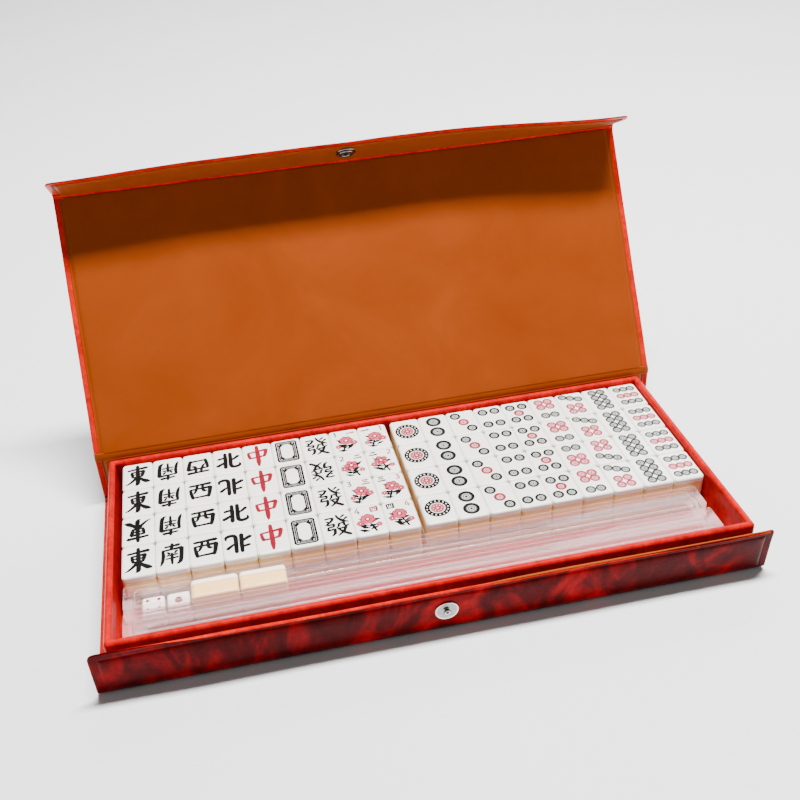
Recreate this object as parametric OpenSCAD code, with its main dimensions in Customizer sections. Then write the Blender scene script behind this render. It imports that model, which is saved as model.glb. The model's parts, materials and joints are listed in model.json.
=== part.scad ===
// Travel mahjong case: a folding leatherette wrap round a rigid tray of tiles,
// racks and dice, closed by a flap with a press stud.
// Origin: centre of the underside. +X along the case, +Y to the back, +Z up.

/* [Tiles] */
// Length of a tile's face
tile_l = 24.9; // [20:0.1:32]
// Width of a tile's face
tile_w = 17.9; // [14:0.1:24]
// Thickness of a tile
tile_t = 13; // [10:0.5:16]
// Radius of a tile's four upright corners
tile_corner_r = 2.2; // [1:0.1:3]
// Radius of a tile's long and short edges
tile_edge_r = 1.3; // [0.5:0.1:2]
// Play between neighbouring tiles
tile_play = 0.1; // [0.05:0.05:0.4]
// Free strip between the two blocks of tiles
block_gap = 3; // [1:0.5:8]

/* [Racks] */
// Wall thickness of a rack along its sides
rack_wall = 1.4; // [1.2:0.1:2]
// Thickness of a rack's base
rack_base = 1.8; // [1.2:0.1:2.4]
// Thickness of a rack's end walls
rack_end = 5; // [2:0.5:8]
// How far a rack's lip stands out from its walls
rack_lip = 1.2; // [0.6:0.1:1.6]
// Height of a rack's lip
rack_lip_h = 2.2; // [1.5:0.1:3]
// Radius of a rack's upright outer corners
rack_corner_r = 1.6; // [0.8:0.1:3]
// Radius of a trough's upright inner corners
trough_r = 3.2; // [1.5:0.1:5]
// Room beside a tile that stands in a trough
trough_play = 0.4; // [0.2:0.1:0.8]
// Room above a tile inside a closed pair of racks
trough_head = 0.3; // [0.2:0.1:1]
// Gap from the tiles to the lip of the rear racks
rack_gap = 0.4; // [0.3:0.1:1]
// Gap between the rear and the front racks
rack_apart = 0.3; // [0.3:0.1:1]
// Shift to the right of the lower front rack
rack_shift = 6; // [0:0.5:12]
// Gap from the shifted rack to the right wall
rack_end_gap = 0.6; // [0.3:0.1:5]
// Free strip in front of the racks
front_slack = 5.1; // [4.5:0.1:10]

/* [Dice] */
// Room beside a die in a trough
die_play = 1.4; // [0.6:0.2:2.6]
// Radius of a die's edges
die_r = 1.6; // [0.8:0.1:2.5]
// Radius of a small pip
pip_r = 1.1; // [0.6:0.1:1.3]
// Radius of the large single pip
big_pip_r = 2.4; // [1.5:0.1:3]
// Gap from a trough's end to the first die
dice_in = 3.5; // [2:0.5:12]
// Gap beside each die
dice_gap = 1.2; // [0.5:0.1:4]
// Gap between the two spare tiles
blank_gap = 0.8; // [0.3:0.1:4]

/* [Tray] */
// Thickness of the tray's covered walls
tray_wall = 4; // [3:0.5:6]
// Thickness of the tray's cover
cover_t = 0.5; // [0.4:0.1:0.8]
// Thickness of the tray's floor
floor_t = 0.8; // [0.6:0.1:2]
// Height of the rim above the faces of the tiles
rim_above = 2.5; // [1:0.5:6]
// Room at the left of the tiles
left_slack = 4; // [2:0.5:8]
// Room at the right of the tiles
right_slack = 1; // [0.5:0.5:6]
// Room behind the tiles
back_slack = 0.6; // [0.4:0.1:3]

/* [Wrap] */
// Thickness of a panel
wrap_t = 2.4; // [2:0.1:3]
// Thickness of the outer sheet
skin_t = 0.5; // [0.3:0.1:0.7]
// Thickness of the lining
lining_t = 0.4; // [0.3:0.1:0.6]
// Width of the welded border round a panel
seam_w = 5; // [4:0.5:8]
// How far the lining reaches over the border
lining_lap = 2; // [1:0.5:3]
// Radius of the corners at a free edge
corner_r = 4; // [1:0.5:8]
// How far the wrap reaches past the tray at either side
side_reach = 8; // [2:0.5:12]
// Gap between the tray and the panels that stand round it
stand_gap = 0.6; // [0.5:0.1:1.5]
// Gap between the closed lid and the rim
lid_gap = 0.5; // [0.4:0.1:1.5]
// Gap between a fold's bead and the panels beside it
fold_gap = 0.3; // [0.3:0.1:0.6]
// Height of the lid flap's free edge over the table when the case is closed
flap_foot = 4.9; // [2:0.1:8]
// Gap between the free edge of the front flap and the closed lid
flap_gap = 0.6; // [0.4:0.1:3]

/* [Press stud] */
// Diameter of the press stud's flanges
snap_d = 12.5; // [11.5:0.5:15]
// Radius of the rolled rim of a flange
snap_roll = 0.45; // [0.4:0.05:0.5]
// Height of the stud's centre above the base fold
snap_up = 15.4; // [12:0.2:18]
// Thickness of a flange inside its rim
flange_t = 0.6; // [0.4:0.1:0.8]
// Radius of the stud's post
post_r = 1.9; // [1.7:0.1:2.2]
// Height of the socket
socket_h = 1.9; // [1.7:0.1:2.4]
// Thickness of the socket's floor
socket_floor = 0.3; // [0.2:0.1:0.4]
// Gap from the post to the socket's floor when the stud is closed
post_gap = 0.3; // [0.2:0.1:0.5]
// Room round the spring wires in the socket
spring_play = 0.5; // [0.3:0.1:0.8]
// Radius of the spring wires
spring_r = 0.3; // [0.2:0.05:0.35]
// Radius of the shanks that pass through the flaps
shank_r = 1.5; // [1.4:0.1:1.6]
// Height of the cap's dome
dome_h = 1.1; // [0.6:0.1:1.6]

/* [Pose] */
// Lean of the open lid above the level
lid_angle = 58; // [40:1:90]
// Bend of the lid's flap from the plane of the lid
lid_flap_angle = 82; // [60:1:90]
// Lean of the front flap away from the tray
front_flap_angle = 5; // [0:1:10]

/* [Hidden] */
$fn = 48;
columns = 9;
rows = 4;
fit = 0.1;
small = 0.01;
pip_out = 0.55; // share of a pip's radius that its centre lies above the face

// racks and dice, which take their sizes from the tiles
rack_in = tile_t + trough_play;
rack_w = rack_in + 2 * rack_wall;
rack_h = rack_base + (tile_w + trough_head) / 2;
rack_pitch = rack_w + 2 * rack_lip + rack_apart;
trough_edge_r = tile_edge_r - fit;
die_a = rack_in - die_play;

// tile pitches, block and tray sizes
pitch_x = tile_w + tile_play;
pitch_y = tile_l + tile_play;
block_w = columns * pitch_x - tile_play;
block_d = rows * pitch_y - tile_play;
channel_d = rack_gap + rack_lip + rack_pitch + rack_w + rack_lip + front_slack;
tray_in_w = left_slack + 2 * block_w + block_gap + right_slack;
tray_in_d = channel_d + block_d + back_slack;
tray_w = tray_in_w + 2 * tray_wall;
tray_d = tray_in_d + 2 * tray_wall;
case_w = tray_w + 2 * side_reach;

// levels
floor_z = wrap_t + floor_t;
tile_top_z = floor_z + 2 * tile_t;
rim_z = tile_top_z + rim_above;
board_t = wrap_t - skin_t - lining_t;

// the four folds, as the Y and Z of their axes, and the panels between them
half_t = wrap_t / 2;
fold_edge = half_t + fold_gap;
front_y = -tray_d / 2 - stand_gap - half_t;
rear_y = tray_d / 2 + stand_gap + half_t;
base_z = half_t;
lid_z = rim_z + lid_gap + half_t;
base_d = rear_y - front_y;
spine_l = lid_z - base_z;
snap_gap = flange_t + socket_h + fit;
lid_l = base_d + wrap_t + snap_gap;
lid_flap_l = lid_z - flap_foot;
front_flap_l = lid_z - half_t - flap_gap - base_z;
socket_down = lid_z - base_z - snap_up;

// where the contents stand
block_y = tray_d / 2 - tray_wall - back_slack - block_d;
left_x = -tray_in_w / 2 + left_slack;
right_x = left_x + block_w + block_gap;
rack_l = tray_in_w - left_slack - rack_shift - rack_lip - rack_end_gap;
rear_rack_y = block_y - rack_gap - rack_lip - rack_w;
front_rack_y = rear_rack_y - rack_pitch;
upper_rack_z = floor_z + rack_h;
trough_z = floor_z + rack_base;
dice_x = left_x + rack_end + dice_in;
blank_x = dice_x + 2 * (die_a + dice_gap);

red = [0.66, 0.03, 0.05];
tray_red = [0.85, 0.08, 0.07];
orange = [0.76, 0.41, 0.07];
card = [0.62, 0.58, 0.5];
ivory = [0.97, 0.96, 0.9];
clear = [0.88, 0.9, 0.9, 0.5];
steel = [0.8, 0.8, 0.82];

// A rectangle with one corner at the origin and rounded corners
module rounded_square(size, r) {
  translate([r, 0]) square([size[0] - 2 * r, size[1]]);
  translate([0, r]) square([size[0], size[1] - 2 * r]);
  for (x = [r, size[0] - r], y = [r, size[1] - r]) translate([x, y]) circle(r);
}

// A block with rounded upright corners, and rounded edges above and below
module soft_block(size, corner, edge) {
  intersection() {
    linear_extrude(size[2]) rounded_square([size[0], size[1]], corner);
    translate([0, size[1], 0]) rotate([90, 0, 0]) linear_extrude(size[1])
      rounded_square([size[0], size[2]], edge);
    rotate([90, 0, 90]) linear_extrude(size[0])
      rounded_square([size[1], size[2]], edge);
  }
}

// ---- folding wrap -------------------------------------------------------
// A panel lies along its own +Y from a fold axis at y = 0, with its outer face
// down. It ends short of the next fold, or at a free edge with rounded corners.

// Outline of a panel, drawn in by inset; free is true at a free edge
module panel_outline(l, inset, free) {
  y0 = fold_edge + inset;
  y1 = free ? l - inset : l - fold_edge - inset;
  w = case_w - 2 * inset;
  r = max(corner_r - inset, 0.5);
  translate([-w / 2, y0]) {
    if (free) {
      translate([r, 0]) square([w - 2 * r, y1 - y0]);
      square([w, y1 - y0 - r]);
      for (x = [r, w - r]) translate([x, y1 - y0 - r]) circle(r);
    } else {
      square([w, y1 - y0]);
    }
  }
}

// Side view of a panel, along X: square at the folds and round at a free edge
module panel_side(l, free) {
  y1 = free ? l - half_t : l - fold_edge;
  translate([fold_edge, -half_t]) square([y1 - fold_edge, wrap_t]);
  if (free) translate([y1, 0]) circle(half_t);
}

// Outer sheet, turned up round the board to form the welded border
module panel_skin(l, free) {
  difference() {
    intersection() {
      translate([0, 0, -half_t]) linear_extrude(wrap_t) panel_outline(l, 0, free);
      translate([-case_w / 2, 0, 0]) rotate([90, 0, 90]) linear_extrude(case_w)
        panel_side(l, free);
      translate([0, l + half_t, 0]) rotate([90, 0, 0]) linear_extrude(l + wrap_t)
        translate([-case_w / 2, -half_t]) rounded_square([case_w, wrap_t], half_t - small);
    }
    translate([0, 0, skin_t - half_t]) linear_extrude(wrap_t)
      panel_outline(l, seam_w, free);
    translate([0, 0, half_t - lining_t]) linear_extrude(wrap_t)
      panel_outline(l, seam_w - lining_lap, free);
  }
}

module panel_board(l, free) {
  translate([0, 0, skin_t - half_t]) linear_extrude(board_t)
    panel_outline(l, seam_w + fit, free);
}

module panel_lining(l, free) {
  translate([0, 0, half_t - lining_t]) linear_extrude(lining_t)
    panel_outline(l, seam_w - lining_lap + fit, free);
}

// Welded bead on a fold axis
module crease() {
  translate([-case_w / 2, 0, 0]) rotate([0, 90, 0]) cylinder(r = half_t, h = case_w);
}

// Hole for a shank, at a distance along a panel
module shank_hole(along) {
  translate([0, along, -wrap_t]) cylinder(r = shank_r + fit, h = 2 * wrap_t);
}

// Frames of the panels in the open pose
module at_base() { translate([0, front_y, base_z]) children(); }
module at_spine() { translate([0, rear_y, base_z]) rotate([90, 0, 0]) children(); }
module at_lid() { translate([0, rear_y, lid_z]) rotate([lid_angle, 0, 0]) children(); }
module at_lid_flap() {
  at_lid() translate([0, lid_l, 0]) rotate([lid_flap_angle, 0, 0]) children();
}
module at_front_flap() {
  translate([0, front_y, base_z]) rotate([90 + front_flap_angle, 0, 0])
    mirror([0, 0, 1]) children();
}

module base_skin() { color(red) at_base() panel_skin(base_d, false); }
module base_board() { color(card) at_base() panel_board(base_d, false); }
module base_lining() { color(orange) at_base() panel_lining(base_d, false); }
module front_crease() { color(red) at_base() crease(); }
module rear_crease() { color(red) at_spine() crease(); }

module spine_skin() { color(red) at_spine() panel_skin(spine_l, false); }
module spine_board() { color(card) at_spine() panel_board(spine_l, false); }
module spine_lining() { color(orange) at_spine() panel_lining(spine_l, false); }
module lid_crease() { color(red) at_lid() crease(); }

module lid_skin() { color(red) at_lid() panel_skin(lid_l, false); }
module lid_board() { color(card) at_lid() panel_board(lid_l, false); }
module lid_lining() { color(orange) at_lid() panel_lining(lid_l, false); }
module flap_crease() { color(red) at_lid_flap() crease(); }

module lid_flap_skin() {
  color(red) at_lid_flap() difference() {
    panel_skin(lid_flap_l, true);
    shank_hole(socket_down);
  }
}
module lid_flap_board() {
  color(card) at_lid_flap() difference() {
    panel_board(lid_flap_l, true);
    shank_hole(socket_down);
  }
}
module lid_flap_lining() {
  color(orange) at_lid_flap() difference() {
    panel_lining(lid_flap_l, true);
    shank_hole(socket_down);
  }
}

module front_flap_skin() {
  color(red) at_front_flap() difference() {
    panel_skin(front_flap_l, true);
    shank_hole(snap_up);
  }
}
module front_flap_board() {
  color(card) at_front_flap() difference() {
    panel_board(front_flap_l, true);
    shank_hole(snap_up);
  }
}
module front_flap_lining() {
  color(orange) at_front_flap() difference() {
    panel_lining(front_flap_l, true);
    shank_hole(snap_up);
  }
}

// ---- press stud ---------------------------------------------------------

// Thin disc with a rolled rim, lying on z = 0
module snap_flange() {
  r = snap_d / 2 - snap_roll;
  cylinder(r = r, h = flange_t);
  rotate_extrude() translate([r, snap_roll]) circle(snap_roll);
}

// Stud on the outer face of the front flap: flange, and a post that swells
// towards its tip and takes the rivet
post_h = socket_h + fit - socket_floor - post_gap;
post_bulge = 0.4;
post_neck = 0.3;

module snap_stud() {
  color(steel) at_front_flap() translate([0, snap_up, -half_t]) mirror([0, 0, 1])
    difference() {
      union() {
        snap_flange();
        cylinder(r = post_r - post_neck, h = flange_t + post_h - post_bulge);
        rotate_extrude() {
          translate([0, flange_t + post_h - 2 * post_bulge]) square([post_r - post_bulge, 2 * post_bulge]);
          translate([post_r - post_bulge, flange_t + post_h - post_bulge]) circle(post_bulge);
        }
      }
      translate([0, 0, -small]) cylinder(r = rivet_r + fit, h = flange_t + rivet_in + fit);
    }
}

// Rivet: low head on the lining, and a stepped shank whose end sits in the stud
rivet_r = shank_r - 0.5;
rivet_in = 0.6;
rivet_head_t = 0.4;
rivet_head_r = 0.75 * snap_d / 2;

module snap_rivet() {
  color(steel) at_front_flap() translate([0, snap_up, 0]) {
    translate([0, 0, half_t]) cylinder(r = rivet_head_r, h = rivet_head_t);
    translate([0, 0, -half_t]) cylinder(r = shank_r, h = wrap_t);
    translate([0, 0, -half_t - flange_t - rivet_in]) cylinder(r = rivet_r, h = wrap_t);
  }
}

// Cap on the outer face of the lid's flap: a shallow dome and its shank
module snap_cap() {
  cap_r = snap_d / 2;
  dome_r = (cap_r * cap_r + dome_h * dome_h) / (2 * dome_h);
  color(steel) at_lid_flap() translate([0, socket_down, -half_t]) {
    mirror([0, 0, 1]) intersection() {
      translate([0, 0, dome_h - dome_r]) sphere(dome_r, $fn = 240);
      cylinder(r = cap_r, h = 2 * dome_h);
    }
    cylinder(r = shank_r, h = wrap_t);
  }
}

// Socket on the lining of the lid's flap: flange, floor and a rolled ring
// round the mouth
socket_r = post_r + 2 * spring_r + spring_play;
socket_roll = 0.5;
socket_body_r = snap_d / 2 - 2 * snap_roll - 4 * fit;

module snap_socket() {
  lip = [socket_r + socket_roll, socket_body_r - socket_roll];
  color(steel) at_lid_flap() translate([0, socket_down, half_t]) difference() {
    union() {
      snap_flange();
      cylinder(r = socket_body_r, h = socket_h - socket_roll);
      rotate_extrude() {
        translate([lip[0], 0]) square([lip[1] - lip[0], socket_h]);
        for (x = lip) translate([x, socket_h - socket_roll]) circle(socket_roll);
      }
    }
    translate([0, 0, socket_floor]) cylinder(r = socket_r, h = socket_h);
  }
}

// Two spring wires across the socket, either side of the post
module snap_spring() {
  side = post_r + spring_r + fit;
  reach = sqrt(socket_r * socket_r - pow(side + spring_r, 2)) - fit;
  color(steel) at_lid_flap() translate([0, socket_down, half_t + socket_h / 2])
    for (s = [-1, 1]) translate([s * side, reach, 0]) rotate([90, 0, 0])
      cylinder(r = spring_r, h = 2 * reach);
}

// ---- tray ---------------------------------------------------------------
// The walls are boards under one cover, with a rounded rim all round.

rim_r = tray_wall / 2;
mid_w = tray_w - tray_wall;
mid_d = tray_d - tray_wall;
wall_board_t = tray_wall - 2 * (cover_t + fit);
wall_board_h = rim_z - rim_r + cover_t - wrap_t;

// One straight wall along X with a round top, on its centre line
module covered_wall(l) {
  translate([-l / 2, -rim_r, wrap_t]) cube([l, tray_wall, rim_z - rim_r - wrap_t]);
  translate([-l / 2, 0, rim_z - rim_r]) rotate([0, 90, 0]) cylinder(r = rim_r, h = l);
}

// A wall's board, or with play > 0 the space that it stands in, open below
module wall_board(l, play) {
  t = wall_board_t + 2 * play;
  below = play > 0 ? 1 : 0;
  translate([-l / 2 - play, -t / 2, wrap_t - below])
    cube([l + 2 * play, t, wall_board_h + play + below]);
}

// The long boards reach the outer corners and the short ones stand between them
long_board = mid_w + wall_board_t;
short_board = mid_d - wall_board_t - fit;

module tray_cover() {
  color(tray_red) difference() {
    union() {
      for (s = [-1, 1]) {
        translate([0, s * mid_d / 2, 0]) covered_wall(mid_w);
        translate([s * mid_w / 2, 0, 0]) rotate(90) covered_wall(mid_d);
        for (t = [-1, 1]) translate([s * mid_w / 2, t * mid_d / 2, 0]) {
          translate([0, 0, wrap_t]) cylinder(r = rim_r, h = rim_z - rim_r - wrap_t);
          translate([0, 0, rim_z - rim_r]) sphere(rim_r);
        }
      }
    }
    for (s = [-1, 1]) {
      translate([0, s * mid_d / 2, 0]) wall_board(long_board, fit);
      translate([s * mid_w / 2, 0, 0]) rotate(90) wall_board(short_board, fit);
    }
  }
}
module tray_front_board() { color(card) translate([0, -mid_d / 2, 0]) wall_board(long_board, 0); }
module tray_back_board() { color(card) translate([0, mid_d / 2, 0]) wall_board(long_board, 0); }
module tray_left_board() {
  color(card) translate([-mid_w / 2, 0, 0]) rotate(90) wall_board(short_board, 0);
}
module tray_right_board() {
  color(card) translate([mid_w / 2, 0, 0]) rotate(90) wall_board(short_board, 0);
}
module tray_floor() {
  color(tray_red) translate([-tray_in_w / 2, -tray_in_d / 2, wrap_t])
    cube([tray_in_w, tray_in_d, floor_t]);
}

// ---- racks --------------------------------------------------------------

// A trough with its base down, a lip round its mouth and rounded inner corners
module rack() {
  difference() {
    union() {
      linear_extrude(rack_h) rounded_square([rack_l, rack_w], rack_corner_r);
      translate([-rack_lip, -rack_lip, rack_h - rack_lip_h]) linear_extrude(rack_lip_h)
        rounded_square([rack_l + 2 * rack_lip, rack_w + 2 * rack_lip], rack_corner_r + rack_lip);
    }
    intersection() {
      translate([rack_end, rack_wall, 0]) linear_extrude(2 * rack_h)
        rounded_square([rack_l - 2 * rack_end, rack_in], trough_r);
      translate([0, rack_wall, rack_base]) rotate([90, 0, 90]) linear_extrude(rack_l)
        rounded_square([rack_in, 2 * rack_h], trough_edge_r);
    }
  }
}

// A rack turned over, with its mouth down
module turned_rack() { translate([0, rack_w, rack_h]) rotate([180, 0, 0]) rack(); }

module rear_lower_rack() { color(clear) translate([left_x, rear_rack_y, floor_z]) rack(); }
module rear_upper_rack() {
  color(clear) translate([left_x, rear_rack_y, upper_rack_z]) turned_rack();
}
module front_lower_rack() {
  color(clear) translate([left_x + rack_shift, front_rack_y, floor_z]) rack();
}
module front_upper_rack() {
  color(clear) translate([left_x, front_rack_y, upper_rack_z]) turned_rack();
}

// ---- dice and tiles -----------------------------------------------------

// Places of a die's pips for a count, in quarters of its face from the centre
function pips(n) = concat(
  n % 2 == 1 ? [[0, 0]] : [],
  n > 1 ? [[-1, -1], [1, 1]] : [],
  n > 3 ? [[-1, 1], [1, -1]] : [],
  n == 6 ? [[-1, 0], [1, 0]] : []
);

// Cuts one face's pips into a die, with that face up
module pip_face(n) {
  r = n == 1 ? big_pip_r : pip_r;
  for (p = pips(n)) translate([p[0] * die_a / 4, p[1] * die_a / 4, die_a / 2 + r * pip_out])
    sphere(r, $fn = 24);
}

// A die about its centre, turned from 1 up; opposite faces add up to seven
module die(turn) {
  difference() {
    translate([-die_a / 2, -die_a / 2, -die_a / 2])
      soft_block([die_a, die_a, die_a], die_r, die_r);
    rotate(turn) {
      pip_face(1);
      rotate([180, 0, 0]) pip_face(6);
      rotate([90, 0, 0]) pip_face(2);
      rotate([-90, 0, 0]) pip_face(5);
      rotate([0, 90, 0]) pip_face(3);
      rotate([0, -90, 0]) pip_face(4);
    }
  }
}

module dice() {
  color(ivory) translate([dice_x + die_a / 2, rear_rack_y + rack_w / 2, trough_z + die_a / 2]) {
    die([0, 90, 0]);
    translate([die_a + dice_gap, 0, 0]) die([0, 0, 90]);
  }
}

module tile() { soft_block([tile_w, tile_l, tile_t], tile_corner_r, tile_edge_r); }

// Two spare tiles on their long edges, in the rear racks
module blank_tiles() {
  color(ivory) translate([blank_x, rear_rack_y + (rack_w + tile_t) / 2, trough_z + tile_w])
    for (i = [0, 1]) translate([i * (tile_l + blank_gap), 0, 0])
      rotate([90, 0, 0]) rotate(-90) tile();
}

// Column number c of a block's upper layer, four like tiles
module tile_column(block_x, c) {
  color(ivory) for (r = [0:rows - 1])
    translate([block_x + c * pitch_x, block_y + r * pitch_y, floor_z + tile_t]) tile();
}

// Lower layer of a block
module tile_layer(block_x) {
  color(ivory) for (c = [0:columns - 1], r = [0:rows - 1])
    translate([block_x + c * pitch_x, block_y + r * pitch_y, floor_z]) tile();
}

module east_tiles() { tile_column(left_x, 0); }
module south_tiles() { tile_column(left_x, 1); }
module west_tiles() { tile_column(left_x, 2); }
module north_tiles() { tile_column(left_x, 3); }
module red_dragon_tiles() { tile_column(left_x, 4); }
module white_dragon_tiles() { tile_column(left_x, 5); }
module green_dragon_tiles() { tile_column(left_x, 6); }
module flower_tiles() { tile_column(left_x, 7); }
module season_tiles() { tile_column(left_x, 8); }
module dot_one_tiles() { tile_column(right_x, 0); }
module dot_two_tiles() { tile_column(right_x, 1); }
module dot_three_tiles() { tile_column(right_x, 2); }
module dot_four_tiles() { tile_column(right_x, 3); }
module dot_five_tiles() { tile_column(right_x, 4); }
module dot_six_tiles() { tile_column(right_x, 5); }
module dot_seven_tiles() { tile_column(right_x, 6); }
module dot_eight_tiles() { tile_column(right_x, 7); }
module dot_nine_tiles() { tile_column(right_x, 8); }
module character_tiles() { tile_layer(left_x); }
module bamboo_tiles() { tile_layer(right_x); }

base_skin();
base_board();
base_lining();
rear_crease();
front_crease();
tray_floor();
tray_front_board();
tray_back_board();
tray_left_board();
tray_right_board();
tray_cover();
spine_skin();
spine_board();
spine_lining();
lid_crease();
lid_skin();
lid_board();
lid_lining();
flap_crease();
lid_flap_skin();
lid_flap_board();
lid_flap_lining();
snap_cap();
snap_socket();
snap_spring();
front_flap_skin();
front_flap_board();
front_flap_lining();
snap_stud();
snap_rivet();
rear_lower_rack();
rear_upper_rack();
front_lower_rack();
front_upper_rack();
dice();
blank_tiles();
east_tiles();
south_tiles();
west_tiles();
north_tiles();
red_dragon_tiles();
white_dragon_tiles();
green_dragon_tiles();
flower_tiles();
season_tiles();
dot_one_tiles();
dot_two_tiles();
dot_three_tiles();
dot_four_tiles();
dot_five_tiles();
dot_six_tiles();
dot_seven_tiles();
dot_eight_tiles();
dot_nine_tiles();
character_tiles();
bamboo_tiles();
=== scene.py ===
"""Travel mahjong case: the looks of every piece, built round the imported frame.

Sizes are written in millimetres and turned into metres by MM. Places come from the frame: the fold
axes from its joints, and the tiles, racks and dice from the boxes of their nodes.
"""
import json
import math
import random
from contextlib import contextmanager

import bpy
import bmesh
import numpy as np
from mathutils import Matrix, Vector, geometry, noise


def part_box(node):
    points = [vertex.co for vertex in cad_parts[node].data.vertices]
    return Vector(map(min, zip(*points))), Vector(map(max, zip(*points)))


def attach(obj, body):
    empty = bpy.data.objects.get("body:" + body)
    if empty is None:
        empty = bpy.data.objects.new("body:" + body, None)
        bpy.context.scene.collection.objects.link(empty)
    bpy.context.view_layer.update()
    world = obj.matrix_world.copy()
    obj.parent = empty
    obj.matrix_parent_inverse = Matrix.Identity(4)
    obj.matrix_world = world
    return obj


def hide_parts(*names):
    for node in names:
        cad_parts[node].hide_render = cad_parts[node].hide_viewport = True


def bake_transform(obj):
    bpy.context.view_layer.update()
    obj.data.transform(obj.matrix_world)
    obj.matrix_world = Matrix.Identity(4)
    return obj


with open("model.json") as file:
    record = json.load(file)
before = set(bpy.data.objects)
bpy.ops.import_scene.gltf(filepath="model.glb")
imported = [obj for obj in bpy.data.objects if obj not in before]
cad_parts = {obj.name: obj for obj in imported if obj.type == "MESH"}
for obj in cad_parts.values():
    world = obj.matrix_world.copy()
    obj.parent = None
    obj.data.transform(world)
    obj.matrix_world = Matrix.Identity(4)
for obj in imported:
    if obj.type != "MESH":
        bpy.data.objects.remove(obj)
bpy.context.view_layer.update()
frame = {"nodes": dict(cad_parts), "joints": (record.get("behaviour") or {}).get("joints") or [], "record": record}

MM = 0.001
NODES = frame["nodes"]
JOINTS = {j["name"]: j for j in frame["joints"]}


# ---- small helpers ----
def smooth(a, b, v):
    """0 below a, 1 above b, and a smooth step between them."""
    t = min(max((v - a) / (b - a), 0), 1)
    return t * t * (3 - 2 * t)


def profile(points, d):
    """Value at d of a profile given as (distance, value) points."""
    for (d0, v0), (d1, v1) in zip(points, points[1:]):
        if d <= d1:
            return v0 + (v1 - v0) * max(d - d0, 0) / (d1 - d0)
    return points[-1][1]


def add(name, data):
    thing = bpy.data.objects.new(name, data)
    bpy.context.scene.collection.objects.link(thing)
    return thing


def make_object(name, verts, faces, materials, face_slots=None):
    """A smooth mesh object from vertices in millimetres."""
    mesh = bpy.data.meshes.new(name)
    mesh.from_pydata([Vector(v) * MM for v in verts], [], faces)
    for m in materials:
        mesh.materials.append(m)
    if face_slots is not None:
        mesh.polygons.foreach_set("material_index", face_slots)
    mesh.polygons.foreach_set("use_smooth", [True] * len(mesh.polygons))
    mesh.validate()
    return add(name, mesh)


@contextmanager
def editing(piece):
    """The piece's mesh as a bmesh, written back at the end."""
    bm = bmesh.new()
    bm.from_mesh(piece.data)
    yield bm
    bm.to_mesh(piece.data)
    bm.free()


def face_outwards(piece):
    with editing(piece) as bm:
        bmesh.ops.recalc_face_normals(bm, faces=bm.faces)


def skin(rings, n):
    """Faces between rings of n points each, whose points follow one another."""
    return [(k * n + i, k * n + (i + 1) % n, (k + 1) * n + (i + 1) % n, (k + 1) * n + i)
            for k in range(rings - 1) for i in range(n)]


def ring_face(k, n):
    """The face that closes ring k of rings of n points."""
    return tuple(range(k * n, (k + 1) * n))


def round_about(count, r, turn=0):
    """Points spread evenly round a circle of radius r, the first at the angle turn."""
    angles = [turn + 2 * math.pi * i / count for i in range(count)]
    return [(r * math.cos(a), r * math.sin(a)) for a in angles]


def rotation(degrees, axis):
    return Matrix.Rotation(math.radians(degrees), 4, axis)


def finish_piece(piece, body, slot, *nodes):
    """Puts a piece on its body and hides the nodes whose place it takes; slot is not used."""
    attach(piece, body)
    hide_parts(*nodes)


def box_mm(node):
    """Lowest and highest corners of a node, in millimetres."""
    low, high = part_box(node)
    return low / MM, high / MM


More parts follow.
